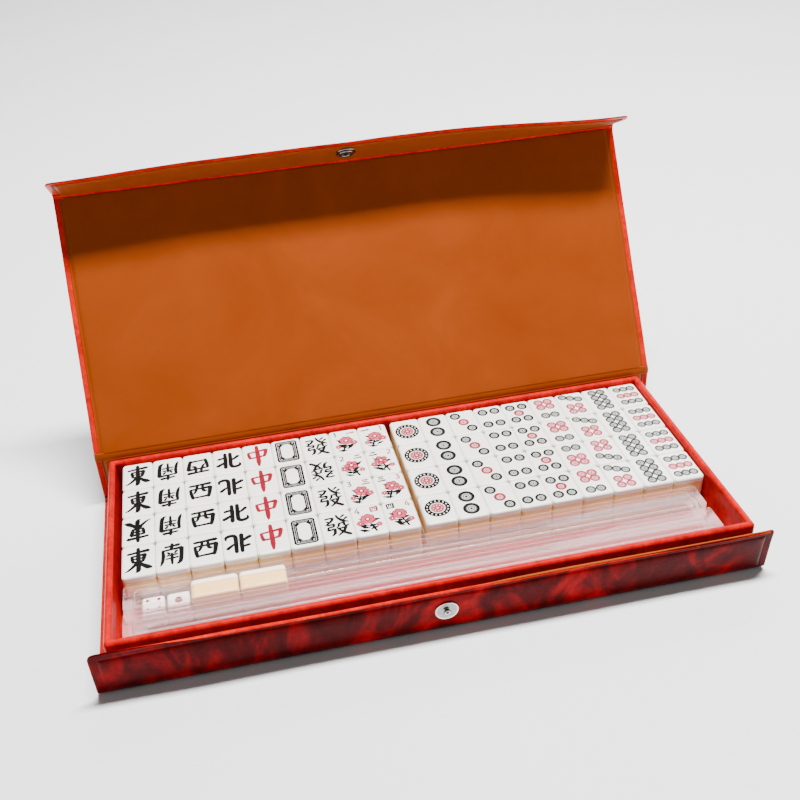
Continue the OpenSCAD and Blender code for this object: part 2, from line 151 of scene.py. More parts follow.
# ---- materials ----
class Nodes:
    """The node tree of a new material, with its shader ready."""

    def __init__(self, name, **sockets):
        self.material = bpy.data.materials.new(name)
        self.material.use_nodes = True
        self.tree = self.material.node_tree
        self.shader = self.tree.nodes["Principled BSDF"]
        for key, value in sockets.items():
            self.shader.inputs[key.replace("_", " ")].default_value = value

    def new(self, kind, **settings):
        node = self.tree.nodes.new(kind)
        for key, value in settings.items():
            if hasattr(node, key):
                setattr(node, key, value)
            else:
                node.inputs[key.replace("_", " ")].default_value = value
        return node

    def link(self, a, out, b, into):
        self.tree.links.new(a.outputs[out], b.inputs[into])

    def coords(self, stretch=(1, 1, 1), turn=(0, 0, 0)):
        """Object coordinates in metres, stretched and turned."""
        where = self.new("ShaderNodeTexCoord")
        mapping = self.new("ShaderNodeMapping")
        mapping.inputs["Scale"].default_value = stretch
        mapping.inputs["Rotation"].default_value = turn
        self.link(where, "Object", mapping, "Vector")
        return mapping

    def noise(self, scale, detail=3.0, distortion=0.0, roughness=0.5, stretch=(1, 1, 1), turn=(0, 0, 0)):
        node = self.new("ShaderNodeTexNoise", Scale=scale, Detail=detail, Distortion=distortion,
                        Roughness=roughness)
        self.link(self.coords(stretch, turn), "Vector", node, "Vector")
        return node

    def ramp(self, source, *stops):
        """Colour ramp from (position, colour) stops."""
        node = self.new("ShaderNodeValToRGB")
        ramp = node.color_ramp
        ramp.elements[0].position, ramp.elements[1].position = stops[0][0], stops[-1][0]
        ramp.elements[0].color, ramp.elements[1].color = (*stops[0][1], 1), (*stops[-1][1], 1)
        for position, colour in stops[1:-1]:
            ramp.elements.new(position).color = (*colour, 1)
        self.link(source, "Fac", node, "Fac")
        return node

    def spread(self, source, low, high):
        """A value from 0 to 1 spread over low to high."""
        node = self.new("ShaderNodeMapRange")
        node.inputs["To Min"].default_value = low
        node.inputs["To Max"].default_value = high
        self.link(source, "Fac", node, "Value")
        return node

    def multiply(self, factor, a, b):
        """The colour of ramp a, darkened as far as factor says by ramp b."""
        node = self.new("ShaderNodeMix", data_type="RGBA", blend_type="MULTIPLY")
        node.inputs[0].default_value = factor
        first, second = [s for s in node.inputs if s.type == "RGBA"]
        self.tree.links.new(a.outputs["Color"], first)
        self.tree.links.new(b.outputs["Color"], second)
        return next(s for s in node.outputs if s.type == "RGBA")

    def bump(self, source, strength, distance, under=None, out="Fac"):
        node = self.new("ShaderNodeBump", Strength=strength, Distance=distance * MM)
        self.link(source, out, node, "Height")
        if under:
            self.link(under, "Normal", node, "Normal")
        return node

    def surface(self, colour, rough, bump):
        """Leads a ramp, a spread value and a bump into the shader."""
        self.link(colour, "Color", self.shader, "Base Color")
        self.link(rough, "Result", self.shader, "Roughness")
        self.link(bump, "Normal", self.shader, "Normal")
        return self.material


def leatherette(name, dark, mid, light, cloud, gloss):
    """Vinyl with cloudy colour and a fine pebbled grain, as glossy as gloss says. Its clouds are partly the
    vinyl's own marbling and partly painted reflection of a wavy glossy surface.
    """
    n = Nodes(name, Specular_IOR_Level=gloss, Specular_Tint=(1.0, 0.10, 0.10, 1))
    marbling_and_reflection = n.noise(cloud, 4.0, 1.2, 0.55, (1, 1, 0.6), (0.5, 0.3, 0.9))
    colour = n.ramp(marbling_and_reflection, (0.36, dark), (0.50, mid), (0.66, light))
    mottle = n.noise(cloud * 7, 4.0, 1.0, 0.6, (1, 1, 0.5), (0.4, 0.2, 0.6))
    shade = n.ramp(mottle, (0.30, (0.50, 0.50, 0.50)), (0.62, (1.0, 1.0, 1.0)))
    n.tree.links.new(n.multiply(0.8, colour, shade), n.shader.inputs["Base Color"])
    n.link(n.spread(mottle, 0.24, 0.38), "Result", n.shader, "Roughness")
    grain = n.new("ShaderNodeTexVoronoi", feature="SMOOTH_F1", Scale=1500.0)
    n.link(n.coords(), "Vector", grain, "Vector")
    fine = n.bump(grain, 0.30, 0.12, out="Distance")
    broad = n.bump(n.noise(130, 3.0, 0.6), 0.30, 0.5, fine)
    n.link(broad, "Normal", n.shader, "Normal")
    return n.material


def lining(name):
    """Plain calendered vinyl: orange, satin, with faint streaks and a fine grain."""
    n = Nodes(name, Specular_IOR_Level=0.35, Specular_Tint=(1.0, 0.36, 0.10, 1))
    blotch = n.noise(14, 4.0, 0.8, 0.6)
    colour = n.ramp(blotch, (0.25, (0.195, 0.030, 0.002)), (0.55, (0.225, 0.037, 0.004)),
                    (0.80, (0.26, 0.045, 0.006)))
    fine = n.bump(n.noise(2200, 2.0), 0.25, 0.08)
    broad = n.bump(n.noise(45, 2.0, 0.5), 0.25, 0.7, fine)
    return n.surface(colour, n.spread(n.noise(90), 0.42, 0.60), broad)


def plastic(name, low, high, roughness, scale=60, **sockets):
    """Smooth moulded plastic with slight cloudiness."""
    n = Nodes(name, **sockets)
    colour = n.ramp(n.noise(scale, 3.0, 0.5), (0.3, low), (0.7, high))
    rough = n.spread(n.noise(scale * 6, 2.0), roughness * 0.8, roughness * 1.2)
    return n.surface(colour, rough, n.bump(n.noise(260, 2.0), 0.15, 0.02))


def clear_plastic(name, clarity, tint):
    """Styrene with scuffs, as clear as clarity says: it bends light little, has a glossy coat and casts
    hardly any shadow."""
    n = Nodes(name, Transmission_Weight=clarity, IOR=1.06, Coat_Weight=0.45, Coat_IOR=1.5,
              Coat_Roughness=0.03, Base_Color=(*tint, 1), Specular_IOR_Level=0.3)
    path = n.new("ShaderNodeLightPath")
    through = n.new("ShaderNodeBsdfTransparent", Color=(0.95, 0.93, 0.93, 1))
    mixed = n.new("ShaderNodeMixShader")
    n.link(path, "Is Shadow Ray", mixed, 0)
    n.link(n.shader, "BSDF", mixed, 1)
    n.link(through, "BSDF", mixed, 2)
    n.link(mixed, 0, n.tree.nodes["Material Output"], "Surface")
    scuffs = n.noise(70, 4.0, 0.3, stretch=(1, 9, 9))
    n.link(n.spread(scuffs, 0.02, 0.10), "Result", n.shader, "Roughness")
    draw_lines = n.noise(90, 2.0, stretch=(0.4, 3, 3))
    n.link(n.bump(draw_lines, 0.15, 0.1), "Normal", n.shader, "Normal")
    return n.material


def steel(name, low, high):
    """Nickel-plated steel with light wear, as bright as low and high say."""
    n = Nodes(name, Metallic=1.0)
    wear = n.noise(900, 4.0, 0.4)
    colour = n.ramp(wear, (0.3, (low, low, low * 0.97)), (0.7, (high, high, high * 0.97)))
    return n.surface(colour, n.spread(wear, 0.12, 0.30), n.bump(wear, 0.2, 0.02))


def board():
    """Grey card with fibres along it."""
    n = Nodes("grey_board")
    fibres = n.noise(400, 4.0, stretch=(1, 4, 4))
    colour = n.ramp(fibres, (0.3, (0.22, 0.20, 0.17)), (0.7, (0.36, 0.33, 0.28)))
    n.link(colour, "Color", n.shader, "Base Color")
    n.link(n.spread(fibres, 0.8, 0.95), "Result", n.shader, "Roughness")
    return n.material


def tile_plastic(name, low, high, roughness, depth):
    """Cast tile resin, which lets light in a little as depth says."""
    return plastic(name, low, high, roughness, Subsurface_Weight=depth, Subsurface_Scale=0.004,
                   Coat_Weight=0.2, Coat_Roughness=0.1)


def paint(name, low, high, specular=0.2, roughness=0.5):
    return plastic(name, low, high, roughness, 300, Specular_IOR_Level=specular)


# The wrap's clouds run from near black to bright red: partly its own marbling, partly painted reflection of a wavy
# glossy surface.
WRAP_RED = leatherette("wrap_leatherette", (0.028, 0, 0), (0.085, 0, 0.001), (0.33, 0, 0.003), 34, 0.07)
TRAY_RED = leatherette("tray_leatherette", (0.40, 0, 0.001), (0.46, 0, 0.001), (0.52, 0.001, 0.002),
                       30, 0.13)
# A much brighter copy of the wrap's red vinyl: the real welded borders, with painted light where it gives the glow
# of thin vinyl at the flap crease and a painted highlight on the front flap's curled border.
WELD_AND_GLOW_RED = leatherette("weld_and_glow_leatherette", (0.50, 0.004, 0.001), (0.58, 0.008, 0.001), (0.66, 0.014, 0.001),
                       40, 0.13)
LINING = lining("orange_lining")
IVORY = tile_plastic("tile_ivory", (0.90, 0.88, 0.79), (0.95, 0.93, 0.85), 0.22, 0.12)
AMBER = tile_plastic("tile_amber", (0.80, 0.52, 0.20), (0.86, 0.60, 0.26), 0.25, 0.15)
BLACK_PAINT = paint("black_paint", (0.002, 0.002, 0.002), (0.006, 0.006, 0.006), 0.05, 0.55)
RED_PAINT = paint("red_paint", (0.19, 0, 0.009), (0.25, 0.001, 0.016), 0.1)
GREY_PAINT = paint("grey_paint", (0.070, 0.082, 0.078), (0.110, 0.124, 0.118))
PINK_PAINT = paint("pink_paint", (0.42, 0.045, 0.085), (0.50, 0.065, 0.11))
DIE_WHITE = plastic("dice_white", (0.93, 0.92, 0.88), (0.97, 0.96, 0.94), 0.2, Coat_Weight=0.3,
                    Coat_Roughness=0.08)
CLEAR = clear_plastic("clear_plastic", 1.0, (0.99, 0.965, 0.965))
# Milky, pinkish plastic: a painted reflection on the racks' ends and painted glints on the rope crests.
SHEEN_PLASTIC = clear_plastic("plastic_painted_sheen", 0.86, (0.98, 0.86, 0.86))
STEEL = steel("plated_steel", 0.62, 0.86)
# Darker copies of the plated steel: painted shade on the stud's dish and on the socket, and a painted dark
# reflection on the stud's post.
SHADED_STEEL = steel("steel_painted_shade", 0.22, 0.36)
STEEL_DARK_REFLECTION = steel("steel_painted_dark_reflection", 0.03, 0.08)
BOARD = board()


# ---- folding wrap ----
def fold_axis(joint):
    p = JOINTS[joint]["pos_m"]
    return Vector((0, p[1], p[2])) / MM


class Panel:
    """A flat panel with its own coordinates: x along the case, s from its fold and h inwards."""

    def __init__(self, body, axis, angle, length, free=False, side=1):
        self.body, self.axis, self.angle = body, axis, angle
        self.length, self.free, self.side = length, free, side
        self.warp = lambda x, s: 0.0
        self.curl = lambda x: 0.0

    def direction(self):
        return Vector((0, math.cos(self.angle), math.sin(self.angle)))

    def normal(self):
        return Vector((0, -math.sin(self.angle), math.cos(self.angle))) * self.side

    def place(self, x, s, h):
        """A point in the row frame, after the panel's warp and the curl of its welded flange."""
        h += self.warp(x, s)
        turn_at = self.length - FLANGE
        bend = self.curl(x)
        if self.free and s > turn_at and bend:
            out = s - turn_at
            s, h = (turn_at + out * math.cos(bend) + h * math.sin(bend),
                    h * math.cos(bend) - out * math.sin(bend))
        return Vector((x, 0, 0)) + self.axis + self.direction() * s + self.normal() * h


def panel_between(body, a, b):
    line = fold_axis(b) - fold_axis(a)
    return Panel(body, fold_axis(a), math.atan2(line.z, line.y), line.length)


def flap(body, side=1):
    """A panel from its fold to its round free edge, which is what lies farthest from the fold."""
    axis = fold_axis(body + "_fold")
    co = np.array([v.co for v in NODES[body + "_skin"].data.vertices]) / MM
    away = co[:, 1:] - np.array([axis.y, axis.z])
    far = away[np.argmax((away ** 2).sum(1))]
    return Panel(body, axis, math.atan2(far[1], far[0]), float(np.hypot(*far)), True, side)


HALF_THICK = 1.2        # of a panel with its board
FOLD_EDGE = 1.5         # from a fold to the panels on both sides of it
FLANGE = 1.5            # the part of the front flap's welded border that curls
CASE_HALF = box_mm("base_skin")[1].x
CORNER_R = 4.0
STUD_AT = 15.4          # from the fold of its flap, as is the socket
SOCKET_AT = 16.8

BASE = panel_between("base", "front_flap_fold", "spine_fold")
SPINE = panel_between("spine", "spine_fold", "lid_fold")
LID = panel_between("lid", "lid_fold", "lid_flap_fold")
LID_FLAP, FRONT_FLAP = flap("lid_flap"), flap("front_flap", -1)

# (distance in from a free edge, height) of the cover's two faces and of the lining's top
COVER_IN = [(0, -0.05), (0.35, 0.22), (1.0, 0.28), (3.9, 0.28), (4.3, 0.02), (4.8, 0.15), (6.0, 0.78),
            (8, 0.88)]
COVER_OUT = [(0, -0.35), (0.35, -0.60), (1.0, -0.68), (3.6, -0.70), (4.4, -0.62), (5.6, -1.08), (8, -1.20)]
# the same from a fold
FOLD_IN = [(0, 0.62), (1.0, 0.84), (3.0, 0.88)]
FOLD_OUT = [(0, -0.55), (0.8, -0.75), (1.8, -1.10), (3.0, -1.20)]
LINING_T = 0.30         # thickness over the cover
LINING_IN = 2.7         # from a free edge
LINING_FOLD = 0.4       # from a fold
LINING_STEP = 0.15      # width of the step up to its top
LINING_SUNK = 0.1
EDGE_LINES = [0, 0.12, 0.35, 0.7, 1.0, 1.2, 1.35, 1.6, 2.4, 3.4, 3.9, 4.1, 4.3, 4.5, 4.8, 5.3, 6.0, 7.0,
              8.0, 11.0]
FOLD_LINES = [0, 0.4, 0.8, 1.2, 1.6, 2.2, 3.0, 5.0, 8.0]
PANEL_STEP = 9.0


def lines_between(start, end, lead, tail, step):
    """Grid lines from start to end: close-set at both ends as lead and tail say, and step apart between."""
    first = [start + d for d in lead if d < (end - start) / 2]
    last = [end - d for d in reversed(tail) if d < (end - start) / 2]
    count = max(1, round((last[0] - first[-1]) / step))
    middle = [first[-1] + (last[0] - first[-1]) * i / count for i in range(1, count)]
    return first + middle + last


def round_corner(x, s, end):
    """Draws a grid point in, so that the outline's corners at s = end are round."""
    u = CASE_HALF - abs(x)
    v = end - s
    if u >= CORNER_R or v >= CORNER_R:
        return x, s
    a, b = 1 - u / CORNER_R, 1 - v / CORNER_R
    u = CORNER_R * (1 - a * math.sqrt(1 - b * b / 2))
    v = CORNER_R * (1 - b * math.sqrt(1 - a * a / 2))
    return math.copysign(CASE_HALF - u, x), end - v


def slab(name, panel, inset, top, bottom, material, top_material=None):
    """A closed sheet of a panel: top(edge, fold, x) and bottom(edge, fold, x) give the heights of its
    faces at those distances from the nearest free edge and from the nearest fold."""
    end = panel.length - (0 if panel.free else FOLD_EDGE)
    lead = [d for d in EDGE_LINES if d >= inset]
    fold_lead = [d for d in FOLD_LINES if d >= min(inset, 0.4)] if inset else FOLD_LINES
    xs = lines_between(-CASE_HALF, CASE_HALF, lead, lead, PANEL_STEP)
    ss = lines_between(FOLD_EDGE, end, fold_lead, lead if panel.free else fold_lead, PANEL_STEP)
    verts = []
    for face in (top, bottom):
        for s in ss:
            for x in xs:
                edge = CASE_HALF - abs(x)
                fold = s - FOLD_EDGE
                if panel.free:
                    edge = min(edge, end - s)
                else:
                    fold = min(fold, end - s)
                px, ps = round_corner(x, s, end) if panel.free else (x, s)
                verts.append(panel.place(px, ps, face(edge, fold, x)))
    nx, ns = len(xs), len(ss)
    size = nx * ns
    faces, slots = [], []
    for j in range(ns - 1):
        for i in range(nx - 1):
            a = j * nx + i
            faces.append((a, a + 1, a + nx + 1, a + nx))
            faces.append((size + a, size + a + nx, size + a + nx + 1, size + a + 1))
            slots += [1, 0]
    loop = [*range(nx), *range(2 * nx - 1, size, nx), *range(size - 2, size - nx - 1, -1),
            *range(size - 2 * nx, 0, -nx)]
    for a, b in zip(loop, loop[1:] + loop[:1]):
        faces.append((a, size + a, size + b, b))
        slots.append(0)
    piece = make_object(name, verts, faces, [material, top_material or material], slots)
    face_outwards(piece)
    return piece


def dress_panel(panel, bare=lambda x: LINING_IN):
    """The red cover of a panel and the orange lining on its inside, which leaves bare(x) along its edges."""
    def cover_top(edge, fold, x):
        return min(profile(COVER_IN, edge), profile(FOLD_IN, fold))

    def cover_bottom(edge, fold, x):
        return max(profile(COVER_OUT, edge), profile(FOLD_OUT, fold))

    def lining_top(edge, fold, x):
        step = min(edge - bare(x), fold - LINING_FOLD + LINING_STEP, LINING_STEP) / LINING_STEP
        return cover_top(edge, fold, x) + LINING_T * max(step, -0.2)

    def lining_bottom(edge, fold, x):
        return cover_top(edge, fold, x) - LINING_SUNK

    cover = slab(panel.body + "_cover", panel, 0, cover_top, cover_bottom, WRAP_RED, WELD_AND_GLOW_RED)
    finish_piece(cover, panel.body, "red_leatherette", panel.body + "_skin", panel.body + "_board")
    inset = min(bare(x) for x in (-150, 0, 150))
    sheet = slab(panel.body + "_inner_sheet", panel, inset, lining_top, lining_bottom, LINING)
    finish_piece(sheet, panel.body, "orange_lining", panel.body + "_lining")


def crease(node, joint, before, after, way, inside):
    """The welded strip that joins two panels at a joint; inside is the material of its inner side, and way
    is -1 where the first panel's own direction leads to the joint, 1 where it leads away."""
    reach, inner, outer, steps = 2.4, 0.90, 0.55, 10
    axis = fold_axis(joint)
    start, end = axis + before.direction() * way * reach, axis + after.direction() * reach
    xs = lines_between(-CASE_HALF, CASE_HALF, [0, 0.3, 1.0, 3.0], [0, 0.3, 1.0, 3.0], 12)
    verts, ring = [], 2 * (steps + 1)
    for x in xs:
        out = smooth(0, 1.0, CASE_HALF - abs(x)) * 0.4 + 0.6
        for side in (1, -1):
            for i in range(steps + 1) if side == 1 else range(steps, -1, -1):
                t = i / steps
                p = start * (1 - t) ** 2 + axis * 2 * t * (1 - t) + end * t * t
                tangent = ((axis - start) * (1 - t) + (end - axis) * t).normalized()
                normal = Vector((0, -tangent.z, tangent.y))
                verts.append(Vector((x, 0, 0)) + p + normal * (inner if side == 1 else -outer) * out)
    faces = skin(len(xs), ring) + [ring_face(0, ring), ring_face(len(xs) - 1, ring)[::-1]]
    slots = [int(i < steps) for _ in xs[1:] for i in range(ring)] + [0, 0]
    piece = make_object(node + "_strip", verts, faces, [WRAP_RED, inside], slots)
    face_outwards(piece)
    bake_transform(piece)
    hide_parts(node)


def waves(x, s, height, length, seed):
    """Slow waves along and across a panel."""
    return height * noise.noise(Vector((x / length, s / length * 1.7, seed)))


def calm(x, s, at):
    """0 round the press stud, where a panel stays flat, and 1 away from it."""
    return smooth(7, 24, math.hypot(x, s - at))


def lid_warp(x, s):
    return waves(x, s, 0.9, 90, 3.1) * smooth(0, 25, s) * smooth(0, 25, LID.length - s)


def lid_flap_warp(x, s):
    """The flap leans in at both ends, more so at the right one."""
    lean = waves(x, s, 0.5, 60, 7.7) - 0.1 + 2.2 * smooth(90, 178, -x) + 5.2 * smooth(60, 178, x)
    return smooth(0, 26, s) * calm(x, s, SOCKET_AT) * lean


def front_flap_warp(x, s):
    """The flap's top bends in, and out again at its right end."""
    wave = (waves(x, s, 0.8, 55, 1.3) - 0.3) * smooth(3, 26, s)
    return calm(x, s, STUD_AT) * (wave + smooth(19, 30, s) * (0.5 - 0.9 * smooth(110, 170, x)))


def front_flap_curl(x):
    """The welded border is folded over outwards, except at the left end."""
    return math.radians(112 * smooth(-165, -110, x) - 20 * smooth(120, 176, x))


def front_flap_bare(x):
    """The lining covers the welded border at the right. On the left the bare border, curled outwards, shows the
    bright weld red from above as a painted highlight along the flap's top edge.
    """
    return 0.4 + 4.1 * (1 - smooth(12, 30, x))


def build_wrap():
    LID.warp, LID_FLAP.warp = lid_warp, lid_flap_warp
    FRONT_FLAP.warp, FRONT_FLAP.curl = front_flap_warp, front_flap_curl
    for panel in (BASE, SPINE, LID, LID_FLAP):
        dress_panel(panel)
    dress_panel(FRONT_FLAP, front_flap_bare)
    crease("rear_crease", "spine_fold", BASE, SPINE, -1, LINING)
    crease("lid_crease", "lid_fold", SPINE, LID, -1, LINING)
    # The flap crease's inside is the bright weld red: painted glow of light shining through the thin vinyl.
    crease("flap_crease", "lid_flap_fold", LID, LID_FLAP, -1, WELD_AND_GLOW_RED)
    crease("front_crease", "front_flap_fold", FRONT_FLAP, BASE, 1, LINING)


# ---- tiles ----
TILE = Vector((17.9, 24.9, 13.0))
TILE_PLAY = 0.1         # between neighbours
TILE_CORNER = 2.2
TILE_EDGE = 1.3
TILE_SPLIT = 9.6        # height at which the ivory lies on the amber
ENGRAVED = 0.12         # depth of the painted marks
CORNER_STEPS, EDGE_STEPS = 5, 4
STROKE_STEPS, STROKE_TIP = 4, 0.45
IVORY_SLOT, AMBER_SLOT, BLACK, RED, GREY, PINK = range(6)


def rounded_ring(w, d, r, z):
    """A closed ring round a w by d rectangle about its centre, with corners of radius r."""
    ring = []
    for corner, (sx, sy) in enumerate(((1, 1), (-1, 1), (-1, -1), (1, -1))):
        for i in range(CORNER_STEPS + 1):
            a = math.radians(90 * corner + 90 * i / CORNER_STEPS)
            ring.append((sx * (w / 2 - r) + r * math.cos(a), sy * (d / 2 - r) + r * math.sin(a), z))
    return ring


def tile_rings():
    """Rings of a tile from its base to the rim of its face, each as (distance in, height)."""
    angles = [math.pi / 2 * i / EDGE_STEPS for i in range(EDGE_STEPS + 1)]
    levels = [(TILE_EDGE * (1 - math.sin(a)), TILE_EDGE * (1 - math.cos(a))) for a in angles]
    rings = levels + [(0.0, TILE_SPLIT), (0.0, TILE_SPLIT + 0.05)]
    rings += [(inset, TILE.z - z) for inset, z in reversed(levels)]
    return [rounded_ring(TILE.x - 2 * i, TILE.y - 2 * i, TILE_CORNER - i, z) for i, z in rings]


# A face is a list of (slot or None, outline) in painter's order, in millimetres about its centre.
def disc(x, y, r, slot, steps=28):
    return [(slot, [(x + dx, y + dy) for dx, dy in round_about(steps, r)])]


def discs(x, y, *rings):
    """Discs one on another, each as (radius, slot, steps)."""
    return [outline for r, slot, steps in rings for outline in disc(x, y, r, slot, steps)]


def bar(x, y, w, h, slot):
    """A rectangle 2w by 2h about a point."""
    return [(slot, [(x - w, y - h), (x + w, y - h), (x + w, y + h), (x - w, y + h)])]


def stroke(points, slot, at=(0, 0)):
    """A brush stroke through (x, y, width) points, moved by at, with pointed ends."""
    pts = [Vector((x, y)) for x, y, _ in points]
    widths = [w for _, _, w in points]
    fine, fine_w = [], []
    for i in range(len(pts) - 1):
        p0 = pts[max(i - 1, 0)]
        p1, p2 = pts[i], pts[i + 1]
        p3 = pts[min(i + 2, len(pts) - 1)]
        for k in range(STROKE_STEPS):
            t = k / STROKE_STEPS
            fine.append(0.5 * ((2 * p1) + (p2 - p0) * t + (2 * p0 - 5 * p1 + 4 * p2 - p3) * t * t
                               + (3 * p1 - p0 - 3 * p2 + p3) * t ** 3))
            fine_w.append(widths[i] + (widths[i + 1] - widths[i]) * t)
    fine.append(pts[-1])
    fine_w.append(widths[-1])
    left, right = [], []
    for i, p in enumerate(fine):
        along = (fine[min(i + 1, len(fine) - 1)] - fine[max(i - 1, 0)]).normalized()
        across = Vector((-along.y, along.x)) * fine_w[i] / 2
        left.append(p + across)
        right.append(p - across)
    first = (fine[0] - fine[1]).normalized() * fine_w[0] * STROKE_TIP
    last = (fine[-1] - fine[-2]).normalized() * fine_w[-1] * STROKE_TIP
    loop = [fine[0] + first] + left + [fine[-1] + last] + right[::-1]
    return [(slot, [(p.x + at[0], p.y + at[1]) for p in loop])]


# Strokes are parted by a bar; each is points of x, y and width, in hundredths of the character's box.
GLYPHS = {
    "east":
    "16,79,6 50,83,7 84,86,9|29,68,6 31,55,7 34,43,6|29,67,6 50,69,6 72,71,8|72,71,9 69,56,8 65,44,6|"
    "33,56,4 50,57,5 66,58,5|35,44,5 50,45,5 65,46,6|50,99,7 51,60,9 51,12,10 42,4,3|"
    "47,42,8 34,27,7 18,14,5 6,9,2|54,42,5 67,29,9 82,19,12 95,15,4",
    "south":
    "28,87,6 50,89,6 74,92,9|51,100,6 51,88,8 48,74,6|20,72,6 22,48,8 18,20,7 12,6,3|"
    "20,71,6 50,74,6 82,77,9|82,77,10 81,48,9 77,16,9 66,6,4|36,63,4 41,55,7|66,65,7 59,56,4|"
    "33,47,5 50,48,5 67,50,6|31,33,5 50,34,5 69,36,6|50,57,5 50,38,7 50,8,5",
    "west":
    "14,89,7 50,92,7 86,95,10|40,90,6 38,70,7 31,48,6 24,40,3|60,92,6 59,66,7 64,53,8 73,52,4|"
    "15,67,6 18,40,8 23,12,8|15,66,6 50,69,6 86,72,9|86,72,10 82,40,9 77,14,8|22,15,6 50,17,6 77,19,8",
    "north":
    "40,97,7 40,60,9 38,8,9|12,66,7 26,69,7 40,72,6|6,24,9 24,34,8 38,45,4|"
    "61,97,8 60,50,9 60,22,9 67,10,9 84,10,9 95,17,7 95,30,3|92,74,8 77,61,7 61,51,4",
    "centre":
    "14,71,6 17,54,8 21,41,8|14,70,6 50,74,6 86,78,9|86,78,10 81,58,9 75,45,7|20,42,6 50,44,6 75,47,7|"
    "50,101,8 51,60,11 51,20,11 50,-2,4",
    "green":
    "12,86,6 30,88,6 41,86,6|41,86,7 30,71,7 8,57,3|15,75,4 24,68,7|54,99,5 60,84,7 74,70,9 94,61,4|"
    "82,95,7 69,85,4|92,83,7 79,74,4|17,56,6 40,58,6|40,58,7 38,47,6|18,45,6 39,47,6|18,45,6 15,33,6|"
    "15,32,6 40,35,7|40,35,8 37,15,8 25,5,3|58,58,6 56,47,6 47,38,3|58,58,6 77,60,6|"
    "77,60,7 77,49,6 85,44,6 94,49,4|51,34,6 68,36,6 83,38,7|81,38,7 70,20,8 48,3,4|55,32,5 70,16,9 92,2,9",
    "ten_thousand":
    "12,86,6 88,91,7|34,99,6 37,79,5|67,100,6 63,80,5|27,72,6 30,50,6|27,72,6 72,75,7|72,75,7 68,52,6|"
    "31,62,4 69,64,4|32,51,5 68,53,5|50,74,6 50,18,7|15,41,6 13,3,7|15,40,6 86,44,7|86,44,8 83,8,8 72,2,3|"
    "29,19,5 50,22,5 66,25,5|66,30,5 75,14,7",
    "one": "8,48,9 50,53,9 92,56,13",
    "two": "24,74,9 76,78,11|8,26,9 50,29,9 92,31,13",
    "three": "20,86,8 80,90,10|27,55,7 72,58,9|8,18,9 50,21,9 92,23,13",
    "four":
    "12,86,7 17,16,9|12,85,8 86,90,9|86,90,10 82,18,9|17,21,7 82,23,8|40,85,6 37,58,7 27,42,4|"
    "61,86,6 59,58,7 72,50,6",
    "five": "16,90,8 84,94,9|48,91,8 37,12,9|20,57,7 75,60,8|75,60,9 69,14,9|6,11,9 94,15,12",
    "six": "45,100,7 57,84,11|8,66,8 92,73,11|38,56,8 28,30,8 9,7,4|60,56,6 76,30,10 92,7,9",
    "seven": "10,54,8 90,66,11|46,98,9 46,26,9 54,10,9 84,10,9 92,28,4",
    "eight": "38,88,9 30,50,8 6,10,4|54,93,6 67,50,10 94,10,10",
    "nine": "40,98,9 36,50,8 6,7,4|13,66,7 62,72,8|62,72,9 60,24,9 68,10,9 88,12,9 93,32,4",
    "digit_1": "30,74,14 52,96,18 52,4,18",
    "digit_2": "16,76,14 48,96,16 80,74,16 58,38,16 16,8,16 86,8,16",
    "digit_3": "18,88,14 50,96,16 76,76,16 42,54,14|42,54,14 82,32,18 50,4,16 14,16,14",
    "digit_4": "58,98,16 10,34,14 90,34,14|64,62,16 64,2,16",
}


def glyph(name, slot, w, h, at=(0, 0), weight=1.5):
    """A character drawn w by h millimetres about a point, with strokes as bold as weight says."""
    face = []
    for text in GLYPHS[name].split("|"):
        points = [map(int, point.split(",")) for point in text.split()]
        scaled = [((x - 50) * w / 100, (y - 50) * h / 100, t * weight * (w + h) / 200) for x, y, t in points]
        face += stroke(scaled, slot, at)
    return face


def coin(x, y, r, slot, bore):
    """A dot: a dark ring, then a lighter disc out to bore with two fine pale rings in it."""
    inner = GREY if slot == BLACK else PINK
    return discs(x, y, (r, slot, 28), (r * bore, inner, 28), (r * 0.50, None, 22), (r * 0.44, inner, 20),
                 (r * 0.26, None, 14), (r * 0.19, slot, 12))


def great_coin(r):
    """The large dot of the first tile: a broad beaded ring round a pink disc with a red flower."""
    face = disc(0, 0, r, BLACK, 56)
    for x, y in round_about(16, r * 0.81):
        face += disc(x, y, r * 0.062, None, 10)
    face += discs(0, 0, (r * 0.60, None, 40), (r * 0.54, PINK, 40))
    for petal, heart in zip(round_about(8, r * 0.31), round_about(8, r * 0.32)):
        face += disc(*petal, r * 0.115, RED, 16) + disc(*heart, r * 0.05, None, 10)
    return face + discs(0, 0, (r * 0.17, RED, 18), (r * 0.09, None, 14), (r * 0.05, RED, 10))


def dots(count):
    """The face with so many dots."""
    def pairs(x, ys, slot):
        return [(side * x, y, slot) for side in (-1, 1) for y in ys]

    four = pairs(3.9, (-6.5, 6.5), BLACK)
    places = {
        2: [(0, 5.3, BLACK), (0, -5.3, BLACK)],
        3: [(-3.6, 7.1, BLACK), (0, 0, RED), (3.6, -7.1, BLACK)],
        4: four,
        5: four + [(0, 0, RED)],
        6: pairs(3.0, (7.2, 2.0), RED) + pairs(3.0, (-7.2,), BLACK),
        7: [(-4.6, 8.6, BLACK), (0, 6.6, BLACK), (4.6, 4.6, BLACK)] + pairs(2.85, (-2.2, -7.6), RED),
        8: pairs(2.8, (8.1, 2.7, -2.7, -8.1), BLACK),
        9: [(x, y, slot) for y, slot in ((7.0, BLACK), (0, RED), (-7.0, BLACK)) for x in (-4.6, 0, 4.6)],
    }[count]
    r = {2: 4.75, 3: 3.4, 4: 3.3, 5: 3.2, 6: 3.0, 7: 2.8, 8: 2.85, 9: 2.65}[count]
    bore = 0.66 if count < 6 else 0.78
    return [outline for x, y, slot in places for outline in coin(x, y, r, slot, bore)]


